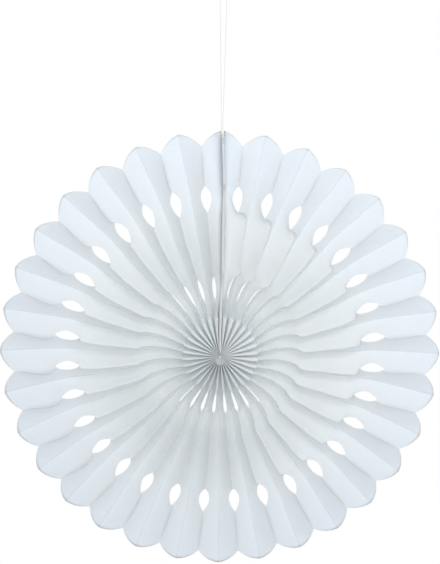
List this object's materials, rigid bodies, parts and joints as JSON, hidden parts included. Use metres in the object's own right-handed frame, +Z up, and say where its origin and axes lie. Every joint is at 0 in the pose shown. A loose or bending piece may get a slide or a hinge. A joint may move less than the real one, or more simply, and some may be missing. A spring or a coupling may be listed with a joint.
{
  "type": "paper fan rosette",
  "caption": "Hanging round paper fan: die-cut tissue pleats opened to a full ring between two cover cards, on a thread loop.",
  "frame": {"origin": "middle of the hub, which is also the middle of the box round the fan without its thread", "axes": "+Z up towards the seam and the thread loop, -Y towards the viewer of the front, +X to the right"},
  "size_m": [0.4, 0.0208, 0.5221],
  "materials": {
    "tissue_paper": "matt, very pale blue white",
    "cover_card": "matt, pale grey",
    "adhesive_tape": "clear film",
    "thread": "white, twisted"
  },
  "bodies": {
    "root": {"pleated_tissue": "tissue_paper", "cover_card_left": "cover_card", "cover_card_right": "cover_card", "seam_tape": "adhesive_tape", "thread_knot": "thread", "hanging_thread": "thread"}
  },
  "joints": []
}
